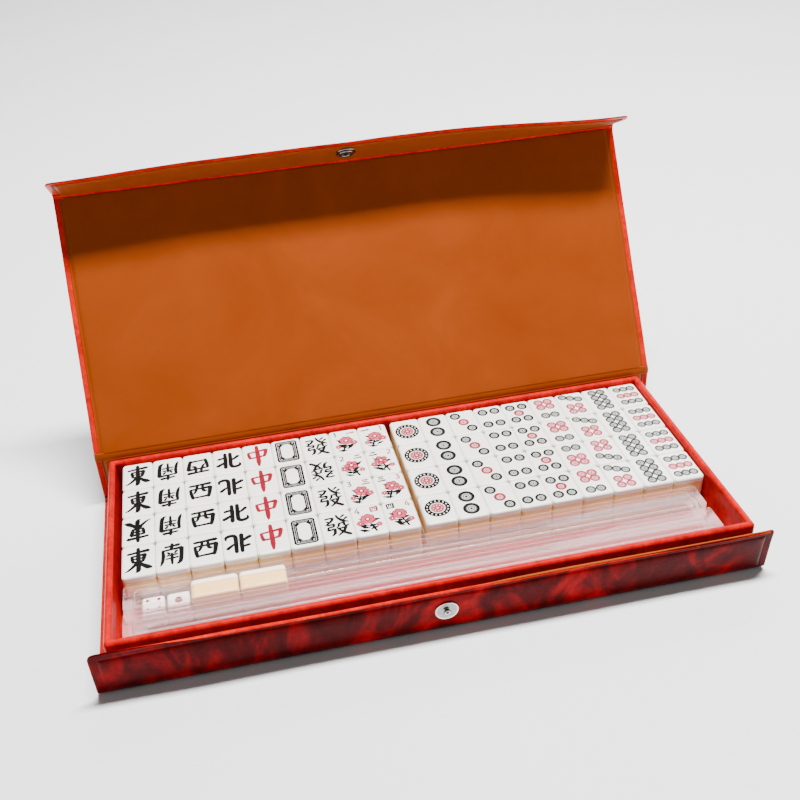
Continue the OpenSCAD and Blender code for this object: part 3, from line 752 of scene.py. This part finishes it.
def double_frame():
    """The frame of the white dragon: a fine line round a bold one, with ornamented corners."""
    def ring(w, h, r, slot):
        return [(slot, [(x, y) for x, y, _ in rounded_ring(w, h, r, 0)])]
    face = ring(13.4, 20.6, 2.0, BLACK) + ring(11.1, 18.3, 1.2, None) + ring(10.75, 17.95, 1.1, BLACK)
    face += [(None, [(-3.6, -5.4), (-2.1, -7.2), (2.1, -7.2), (3.6, -5.4), (3.6, 5.4), (2.1, 7.2),
                     (-2.1, 7.2), (-3.6, 5.4)])]
    for sx in (-1, 1):
        for sy in (-1, 1):
            face += discs(sx * 4.2, sy * 7.7, (0.50, None, 12), (0.28, BLACK, 10))
            corner = [(3.6, 5.0, 0.4), (2.9, 5.9, 0.6), (1.8, 7.0, 0.4)]
            face += stroke([(sx * x, sy * y, w) for x, y, w in corner], BLACK)
        face += [(None, [(sx * 4.62, -6.0), (sx * 4.50, -6.0), (sx * 4.50, 6.0), (sx * 4.62, 6.0)])]
        face += [(None, [(-3.0, sx * 8.24), (-3.0, sx * 8.10), (3.0, sx * 8.10), (3.0, sx * 8.24)])]
    return face


def blossom(x, y, r, petals, turn):
    """A flower of round pink petals with red edges."""
    face = []
    for out, size, colour, steps in ((0.60, 0.42, RED, 16), (0.62, 0.29, PINK, 12)):
        for dx, dy in round_about(petals, r * out, turn):
            face += disc(x + dx, y + dy, r * size, colour, steps)
    return face + discs(x, y, (r * 0.34, RED, 16), (r * 0.18, None, 10))


def leaf(x, y, length, angle, width):
    c, s = math.cos(angle), math.sin(angle)
    points = [(x, y, 0.25), (x + c * length * 0.5 - s * 0.3, y + s * length * 0.5 + c * 0.3, width),
              (x + c * length, y + s * length, 0.18)]
    return stroke(points, BLACK)


def bouquet(seed, digit_at, mark_at, digit_slot, mark_slot, number):
    """A generic spray of flowers and leaves, with a number and a small mark above it."""
    rng = random.Random(seed)
    lean = 1 if seed % 2 else -1
    face = stroke([(-lean * 2.6, -9.6, 1.3), (-lean * 1.2, -5.5, 1.2), (lean * 0.4, -1.0, 0.8)], BLACK)
    for i in range(9):
        side = 1 if i % 2 else -1
        face += leaf(rng.uniform(-1.2, 1.2), -9.0 + 1.15 * i, rng.uniform(4.6, 6.8),
                     math.pi / 2 - side * rng.uniform(0.8, 1.45), rng.uniform(1.8, 2.6))
    face += blossom(lean * 0.6, 1.0, 4.3, 5 + seed % 3, rng.uniform(0, 1))
    face += stroke([(0, -4.5, 0.8), (lean * 3.4, -3.6, 0.9), (lean * 5.2, -2.4, 0.6)], BLACK)
    face += blossom(lean * 5.2, -2.0, 2.3, 5, rng.uniform(0, 1))
    face += blossom(-lean * 5.0, -4.6, 1.9, 5, rng.uniform(0, 1))
    face += glyph(f"digit_{number}", digit_slot, 3.2, 4.6, digit_at, 1.15)
    return face + glyph(("one", "two", "three", "four")[number - 1], mark_slot, 5.2, 5.0, mark_at, 2.2)


def bamboo_stick(x, y, h, slot):
    """A stick of two waisted parts with a pale slit in each, and a joint between them."""
    face, w = [], 1.5
    for part in (-1, 1):
        cy = y + part * h / 4
        face += [(slot, [(x - w * 0.6, cy - h * 0.22), (x + w * 0.6, cy - h * 0.22), (x + w * 0.42, cy),
                         (x + w * 0.6, cy + h * 0.22), (x - w * 0.6, cy + h * 0.22), (x - w * 0.42, cy)])]
        face += bar(x, cy, 0.12, h * 0.15, None)
    return face + bar(x, y, 0.75, 0.28, slot)


def bird():
    """A simple perched bird for the first bamboo."""
    face = stroke([(-4.5, -8.5, 1.0), (0, -8.9, 1.1), (5, -8.3, 0.9)], BLACK)
    face += stroke([(1.8, 6.2, 2.6), (0.6, 2.5, 4.2), (-0.8, -2.0, 4.8), (-2.2, -6.0, 2.2)], BLACK)
    face += disc(2.3, 7.0, 1.9, BLACK, 20) + disc(2.9, 7.4, 0.45, None, 10)
    face += stroke([(3.8, 7.0, 1.0), (5.6, 6.2, 0.3)], RED)
    for i in range(5):
        feather = [(-1.6 + 0.5 * i, -3.5, 0.8), (-4.4 + 1.5 * i, -6.2, 1.0), (-6.2 + 2.4 * i, -8.0, 0.5)]
        face += stroke(feather, RED)
    return face + stroke([(0.8, 2.5, 1.6), (2.4, -0.5, 1.9), (2.6, -4.0, 0.8)], RED)


def bamboo(c):
    """The face with c + 1 sticks, where the first has a bird."""
    if c == 0:
        return bird()
    count = c + 1
    rows = ((1, 1), (1, 2), (2, 2), (2, 1, 2), (3, 3), (1, 3, 3), (4, 4), (3, 3, 3))[c - 1]
    face = []
    pitch = 20.0 / len(rows)
    for j, n in enumerate(rows):
        y = 10.0 - pitch * (j + 0.5)
        for i in range(n):
            gap = 3.6 if n == 4 else 5.0
            slot = RED if (count, j) in ((5, 1), (7, 0)) or (count == 9 and i == 1) else BLACK
            face += bamboo_stick((i - (n - 1) / 2) * gap, y, pitch * 0.82, slot)
    return face


def engrave(face):
    """Triangles of a tile's flat face: (points, triangles, slot or None of each triangle)."""
    rim = rounded_ring(TILE.x - 2 * TILE_EDGE, TILE.y - 2 * TILE_EDGE, TILE_CORNER - TILE_EDGE, 0)
    verts = [Vector((x, y)) for x, y, _ in rim]
    loops = [list(range(len(rim)))]
    for _, outline in face:
        area = sum(a[0] * b[1] - b[0] * a[1] for a, b in zip(outline, outline[1:] + outline[:1]))
        loops.append(list(range(len(verts), len(verts) + len(outline))))
        verts += [Vector(p) for p in (outline if area > 0 else reversed(outline))]
    points, _, tris, _, _, owners = geometry.delaunay_2d_cdt(verts, [], loops, 0, 1e-4)
    tops = [max(owner, default=0) for owner in owners]
    return points, tris, [face[top - 1][0] if top else None for top in tops]


def tile_mesh(face):
    """Vertices, faces and slots of one tile about the centre of its base, face up."""
    rings = tile_rings()
    n = len(rings[0])
    verts = [v for ring in rings for v in ring]
    amber_rings = next(i for i, ring in enumerate(rings) if ring[0][2] > TILE_SPLIT)
    faces = skin(len(rings), n) + [ring_face(0, n)[::-1]]
    slots = [AMBER_SLOT if k < amber_rings else IVORY_SLOT for k in range(len(rings) - 1) for _ in range(n)]
    slots.append(AMBER_SLOT)
    points, tris, tri_slots = engrave(face)
    made = {}

    def vertex(i, low):
        if (i, low) not in made:
            x, y = points[i]
            made[i, low] = len(verts)
            verts.append((x, y, TILE.z - (ENGRAVED if low else 0)))
        return made[i, low]

    edges = {}
    for tri, slot in zip(tris, tri_slots):
        low = slot is not None
        faces.append(tuple(vertex(i, low) for i in tri))
        slots.append(slot if low else IVORY_SLOT)
        for a, b in zip(tri, tri[1:] + tri[:1]):
            edges[a, b] = slot
    for (a, b), slot in edges.items():
        if slot is not None and edges.get((b, a), slot) is None:
            faces.append((vertex(b, False), vertex(a, False), vertex(a, True), vertex(b, True)))
            slots.append(slot)
    return verts, faces, slots


def place_tiles(name, tiles):
    """One object of several tiles, each as (mesh, centre of its base, turned over end for end)."""
    verts, faces, slots = [], [], []
    for (tv, tf, ts), at, turned in tiles:
        start = len(verts)
        sign = -1 if turned else 1
        verts += [(at[0] + sign * x, at[1] + sign * y, at[2] + z) for x, y, z in tv]
        faces += [tuple(start + i for i in f) for f in tf]
        slots += ts
    piece = make_object(name, verts, faces, [IVORY, AMBER, BLACK_PAINT, RED_PAINT, GREY_PAINT, PINK_PAINT],
                        slots)
    with editing(piece) as bm:
        bmesh.ops.remove_doubles(bm, verts=bm.verts, dist=0.002 * MM)
        for f in bm.faces:
            f.smooth = f.normal.z < 0.999 and len(f.verts) == 4
    return piece


def same(mark, *about):
    """The design of a column whose four tiles are alike."""
    return lambda row: mark(*about)


# each column's design, as a function of the row from the back, and the rows that lie turned round
NUMBERS = ("one", "two", "three", "four", "five", "six", "seven", "eight", "nine")
COLUMNS = {
    "east_tiles": (same(glyph, "east", BLACK, 16.2, 19.6, (0, 0), 1.6), (2,)),
    "south_tiles": (same(glyph, "south", BLACK, 16.4, 17.4, (0, 0), 1.6), (0, 1, 2)),
    "west_tiles": (same(glyph, "west", BLACK, 16.4, 14.8, (0, 0), 1.75), (0,)),
    "north_tiles": (same(glyph, "north", BLACK, 15.0, 15.8, (0, 0), 1.85), (1, 3)),
    "red_dragon_tiles": (same(glyph, "centre", RED, 15.4, 19.4), ()),
    "white_dragon_tiles": (same(double_frame), ()),
    "green_dragon_tiles": (same(glyph, "green", BLACK, 15.2, 17.6, (0, 0), 1.45), (1,)),
    "flower_tiles": (lambda row: bouquet(row + 11, (-5.2, 8.4), (4.2, 8.2), BLACK, RED, row + 1), ()),
    "season_tiles": (lambda row: bouquet(row + 23, (5.4, 8.4), (-4.4, 8.2), RED, BLACK, row + 1), ()),
    "dot_one_tiles": (same(great_coin, 7.3), ()),
}
for count in range(2, 10):
    COLUMNS[f"dot_{NUMBERS[count - 1]}_tiles"] = (same(dots, count), (2,) if count in (6, 7) else ())


def character(c):
    return glyph(NUMBERS[c], BLACK, 9.0, 8.0, (0, 5.2)) + glyph("ten_thousand", RED, 10.0, 10.5, (0, -5.2))


def build_tiles():
    pitch = TILE + Vector((TILE_PLAY, TILE_PLAY, 0))
    bodies = {node: body for body, nodes in frame["record"]["behaviour"]["bodies"].items() for node in nodes}

    def lay(node, tiles):
        finish_piece(place_tiles(node + "_faced", tiles), bodies[node], "tile_plastic", node)

    for node, (design, turned) in COLUMNS.items():
        low, high = box_mm(node)
        lay(node, [(tile_mesh(design(r)),
                    ((low.x + high.x) / 2, high.y - TILE.y / 2 - r * pitch.y, low.z), r in turned)
                   for r in range(4)])
    rng = random.Random(5)
    for node, design in (("character_tiles", character), ("bamboo_tiles", bamboo)):
        low, high = box_mm(node)
        tiles = []
        for c in range(9):
            mesh = tile_mesh(design(c))
            for r in range(4):
                at = (low.x + TILE.x / 2 + c * pitch.x, low.y + TILE.y / 2 + r * pitch.y, low.z)
                tiles.append((mesh, at, rng.random() < 0.3))
        lay(node, tiles)


def build_blank_tiles():
    """Two blank tiles standing on their long edges, faces to the back."""
    low, high = box_mm("blank_tiles")
    middle = (low + high) / 2
    verts, faces, slots = tile_mesh([])
    stand = rotation(-90, "X") @ rotation(90, "Z")
    tiles = []
    for x in (low.x + TILE.y / 2, high.x - TILE.y / 2):
        centre = Vector((x, middle.y, middle.z))
        turned = [centre + stand @ (Vector(v) - Vector((0, 0, TILE.z / 2))) for v in verts]
        tiles.append(((turned, faces, slots), (0, 0, 0), False))
    finish_piece(place_tiles("blank_tiles_faced", tiles), "spare_pieces", "tile_plastic", "blank_tiles")


PIP_R, BIG_PIP_R = 1.1, 2.4
PIP_OUT = 0.55          # how far a pip's ball stands out, as a share of its radius
PIP_SEGMENTS, PIP_RINGS = 24, 16
DIE_EDGE = 1.7
DIE_FACES = {1: rotation(0, "X"), 6: rotation(180, "X"), 2: rotation(90, "X"), 5: rotation(-90, "X"),
             3: rotation(90, "Y"), 4: rotation(-90, "Y")}
DIE_TURNS = (rotation(90, "Y"), rotation(90, "Z"))


def pip_places(n):
    """Pips of a side in quarters of its width: the middle, one diagonal, the other, the sides."""
    places = [(0, 0)] * (n % 2) + [(-1, -1), (1, 1)] * (n > 1) + [(-1, 1), (1, -1)] * (n > 3)
    return places + [(-1, 0), (1, 0)] * (n == 6)


def build_dice():
    """Two round-edged cubes, with pips cut in by balls: red for one and four, black for the rest."""
    low, high = box_mm("dice")
    a, middle = high.z - low.z, (low + high) / 2
    centres = [Vector((x, middle.y, middle.z)) for x in (low.x + a / 2, high.x - a / 2)]
    dice = make_object("dice_round", [], [], [DIE_WHITE, RED_PAINT, BLACK_PAINT])
    with editing(dice) as bm:
        for centre in centres:
            made = bmesh.ops.create_cube(bm, size=a * MM, matrix=Matrix.Translation(centre * MM))
            edges = list(dict.fromkeys(e for v in made["verts"] for e in v.link_edges))
            bmesh.ops.bevel(bm, geom=edges, offset=DIE_EDGE * MM, segments=6, profile=0.5, affect="EDGES")
    cutter = make_object("pip_cutter", [], [], [RED_PAINT, BLACK_PAINT])
    slots = []
    with editing(cutter) as bm:
        for centre, turn in zip(centres, DIE_TURNS):
            for n, facing in DIE_FACES.items():
                r = BIG_PIP_R if n == 1 else PIP_R
                for px, py in pip_places(n):
                    at = centre + turn @ (facing @ Vector((px * a / 4, py * a / 4, a / 2 + r * PIP_OUT)))
                    bmesh.ops.create_uvsphere(bm, u_segments=PIP_SEGMENTS, v_segments=PIP_RINGS,
                                              radius=r * MM, matrix=Matrix.Translation(at * MM))
                    slots += [0 if n in (1, 4) else 1] * (PIP_SEGMENTS * PIP_RINGS)
    cutter.data.polygons.foreach_set("material_index", slots)
    cut = dice.modifiers.new("pips", "BOOLEAN")
    cut.operation, cut.object, cut.solver = "DIFFERENCE", cutter, "EXACT"
    bpy.context.view_layer.update()
    shaped = bpy.data.meshes.new_from_object(dice.evaluated_get(bpy.context.evaluated_depsgraph_get()))
    dice.modifiers.clear()
    dice.data = shaped
    bpy.data.objects.remove(cutter)
    shaped.polygons.foreach_set("use_smooth", [True] * len(shaped.polygons))
    finish_piece(dice, "spare_pieces", "dice_plastic", "dice")


# ---- racks ----
RACK_WALL, RACK_BASE, RACK_END = 1.4, 1.8, 5.0
RACK_LIP, RACK_LIP_H = 1.2, 2.2
RACK_GAP = 0.08         # over each rack, so that it lies free of the next
# length of the racks' ends given the painted reflection
SHEEN_END = 13.0
ROPE_PITCH, ROPE_R = 5.6, 0.95


def rope(reach, y, z, hand):
    """A moulded rope bead along X: three strands, one of which comes round every ROPE_PITCH, with crests in the
    milky material as painted glints; hand is the way it is twisted."""
    around, steps = 12, round(2 * reach / 0.8)

    def crest(i, k):
        """Place along X of ring i, and from -1 to 1 how near to a crest its point k is."""
        x = -reach + 2 * reach * i / steps
        return x, math.cos(3 * 2 * math.pi * k / around + hand * 2 * math.pi * x / ROPE_PITCH)

    verts, slots = [], []
    for i in range(steps + 1):
        for k, (c, s) in enumerate(round_about(around, 1)):
            x, high = crest(i, k)
            ends = smooth(0, 2, x + reach) * smooth(0, 2, reach - x)
            q = ROPE_R * (0.74 + 0.26 * high) * (0.55 + 0.45 * ends)
            verts.append((x, y + q * c, z + q * s))
            if i < steps:
                slots.append(int(crest(i + 0.5, k + 0.5)[1] > 0.5))
    faces = skin(steps + 1, around) + [ring_face(0, around), ring_face(steps, around)[::-1]]
    return verts, faces, slots + [0, 0]


def rack_body(length, width, height):
    """A trough with its mouth up, from nested rounded rings, with a painted milky reflection at its ends."""
    def split_ring(w, d, r, z):
        """A rounded ring with points on its long sides where the ends with the painted reflection begin."""
        ring, quarter = rounded_ring(w, d, r, z), CORNER_STEPS + 1
        front = [(sheen_x, d / 2, z), (-sheen_x, d / 2, z)]
        back = [(-sheen_x, -d / 2, z), (sheen_x, -d / 2, z)]
        return ring[:quarter] + front + ring[quarter:3 * quarter] + back + ring[3 * quarter:]

    sheen_x = length / 2 - SHEEN_END
    inner_l, inner_w = length - 2 * RACK_END, width - 2 * RACK_WALL
    lip_l, lip_w = length + 2 * RACK_LIP, width + 2 * RACK_LIP
    lip_z = height - RACK_LIP_H
    rings = [(length - 2.0, width - 2.0, 1.0, 0.0), (length - 0.6, width - 0.6, 1.4, 0.25),
             (length, width, 1.6, 1.0), (length, width, 1.6, lip_z - 0.5),
             (length + 0.6, width + 0.6, 1.9, lip_z - 0.1), (lip_l - 0.5, lip_w - 0.5, 2.6, lip_z + 0.1),
             (lip_l, lip_w, 2.8, lip_z + 0.5), (lip_l, lip_w, 2.8, height - 0.4),
             (lip_l - 0.6, lip_w - 0.6, 2.5, height), (inner_l + 0.6, inner_w + 0.6, 3.4, height),
             (inner_l, inner_w, 3.2, height - 0.5), (inner_l, inner_w, 3.2, RACK_BASE + 1.2),
             (inner_l - 0.7, inner_w - 0.7, 2.9, RACK_BASE + 0.35),
             (inner_l - 2.4, inner_w - 2.4, 2.2, RACK_BASE)]
    loops = [split_ring(*ring) for ring in rings]
    n = len(loops[0])
    verts = [v for loop in loops for v in loop]
    faces = skin(len(loops), n)
    slots = [int(min(abs(verts[v][0]) for v in face) > sheen_x - 0.01) for face in faces]
    return verts, faces + [ring_face(0, n)[::-1], ring_face(len(loops) - 1, n)], slots + [0, 0]


def build_racks():
    for node, turned in (("rear_lower_rack", False), ("rear_upper_rack", True),
                         ("front_lower_rack", False), ("front_upper_rack", True)):
        low, high = box_mm(node)
        length, width = high.x - low.x - 2 * RACK_LIP, high.y - low.y - 2 * RACK_LIP
        height = high.z - low.z - RACK_GAP
        verts, faces, slots = rack_body(length, width, height)
        for side, hand in ((-1, 1), (1, -1)):
            rv, rf, rs = rope(length / 2 - 2, side * (width / 2 + RACK_LIP - 0.55), height - 1.1, hand)
            start = len(verts)
            verts += rv
            faces += [tuple(start + i for i in f) for f in rf]
            slots += rs
        centre = (low + high) / 2
        sign = -1 if turned else 1
        z0 = high.z if turned else low.z
        placed = [(centre.x + x, centre.y + sign * y, z0 + sign * z) for x, y, z in verts]
        piece = make_object(node + "_clear", placed, faces, [CLEAR, SHEEN_PLASTIC], slots)
        face_outwards(piece)
        finish_piece(piece, node, "clear_plastic", node)


# ---- press stud ----
# (radius, height, slot of the band up to the next point) from the middle of the post to the rim's foot
# slot 1 is steel with painted shade, slot 2 steel with a painted dark reflection
STUD = [(0.0, 1.62, 2), (0.80, 1.62, 2), (0.95, 1.70, 0), (1.15, 1.96, 0), (1.45, 2.00, 2), (1.78, 1.86, 2),
        (1.90, 1.60, 2), (1.80, 1.36, 2), (1.62, 1.15, 2), (1.60, 0.80, 1), (1.85, 0.62, 1), (2.6, 0.56, 1),
        (4.9, 0.58, 1), (5.3, 0.66, 0), (5.5, 0.84, 0), (5.8, 0.90, 0), (6.1, 0.80, 0), (6.24, 0.50, 0),
        (6.15, 0.15, 0), (5.9, 0.0, 0)]


def build_stud():
    """The stud half, turned about its axis: a bright rim, a greyer dish with painted shade and a dark post with a
    painted dark reflection.
    """
    steps, bands = 48, STUD[1:]
    across, down = FRONT_FLAP.direction(), FRONT_FLAP.normal()
    verts = [FRONT_FLAP.axis + across * (STUD_AT + dy) - down * (HALF_THICK + z) + Vector((dx, 0, 0))
             for r, z, _ in bands for dx, dy in round_about(steps, r)]
    slots = [slot for _, _, slot in bands[:-1] for _ in range(steps)]
    faces = skin(len(bands), steps) + [ring_face(0, steps), ring_face(len(bands) - 1, steps)]
    piece = make_object("snap_stud_turned", verts, faces, [STEEL, SHADED_STEEL, STEEL_DARK_REFLECTION], slots + [2, 0])
    face_outwards(piece)
    finish_piece(piece, "front_flap", "steel", "snap_stud")


# ---- what stays as the frame has it ----
def dress_nodes():
    for node, obj in NODES.items():
        if node.startswith("snap_"):
            # The socket gets the steel with painted shade.
            material = SHADED_STEEL if node == "snap_socket" else STEEL
        elif node in ("tray_cover", "tray_floor"):
            material = TRAY_RED
        elif node.endswith("_board"):
            material = BOARD
        else:
            continue
        obj.data.materials.clear()
        obj.data.materials.append(material)


# ---- floor, light and camera ----
def build_stage():
    n = Nodes("floor", Roughness=0.75)
    grey = n.ramp(n.noise(3), (0.3, (0.76, 0.76, 0.76)), (0.7, (0.79, 0.79, 0.79)))
    n.link(grey, "Color", n.shader, "Base Color")
    half, z = 4000, -0.05
    corners = [(-half, -half, z), (half, -half, z), (half, half, z), (-half, half, z)]
    make_object("floor", corners, [(0, 1, 2, 3)], [n.material])


def area_light(name, at, towards, size, power):
    data = bpy.data.lights.new(name, "AREA")
    data.shape, data.size, data.size_y = "RECTANGLE", size[0], size[1]
    data.energy = power
    lamp = add(name, data)
    lamp.location = at
    lamp.rotation_euler = (Vector(towards) - Vector(at)).to_track_quat("-Z", "Y").to_euler()


def build_lights():
    area_light("key", (0.24, 0.15, 1.70), (0.24, 0.15, 0.05), (0.95, 0.24), 114)
    area_light("back_card", (0.7, 1.9, 1.35), (0.1, 0, 0.05), (2.8, 1.1), 60)
    area_light("left_fill", (-1.5, -0.5, 0.8), (0, 0, 0.05), (0.9, 0.9), 2)
    area_light("right_fill", (1.5, -0.7, 0.7), (0, 0, 0.05), (0.9, 0.9), 4)
    world = bpy.data.worlds.new("studio")
    world.use_nodes = True
    sky = world.node_tree.nodes["Background"].inputs
    sky["Color"].default_value, sky["Strength"].default_value = (1, 1, 1, 1), 0.12
    bpy.context.scene.world = world


PHOTO_PX = 800
FOCAL_PX = 1010.0
CENTRE_PX = (370.95, 379.84)
CAMERA_AT = (-0.0886, -0.4374, 0.3959)
LOOK_RIGHT, LOOK_DOWN, ROLL = (math.radians(a) for a in (9.175, 32.885, -3.909))


def build_camera():
    data = bpy.data.cameras.new("camera")
    data.sensor_width = 36.0
    data.lens = FOCAL_PX * data.sensor_width / PHOTO_PX
    data.shift_x = (PHOTO_PX / 2 - CENTRE_PX[0]) / PHOTO_PX
    data.shift_y = (CENTRE_PX[1] - PHOTO_PX / 2) / PHOTO_PX
    ahead = Vector((math.sin(LOOK_RIGHT) * math.cos(LOOK_DOWN), math.cos(LOOK_RIGHT) * math.cos(LOOK_DOWN),
                    -math.sin(LOOK_DOWN)))
    level = Vector((math.cos(LOOK_RIGHT), -math.sin(LOOK_RIGHT), 0))
    upward = level.cross(ahead)
    right = level * math.cos(ROLL) + upward * math.sin(ROLL)
    up = upward * math.cos(ROLL) - level * math.sin(ROLL)
    camera = add("camera", data)
    camera.matrix_world = Matrix.Translation(CAMERA_AT) @ Matrix((right, up, -ahead)).transposed().to_4x4()
    bpy.context.scene.camera = camera


build_camera()
build_lights()
build_stage()
dress_nodes()
build_wrap()
build_tiles()
build_blank_tiles()
build_dice()
build_racks()
build_stud()

bpy.context.view_layer.update()
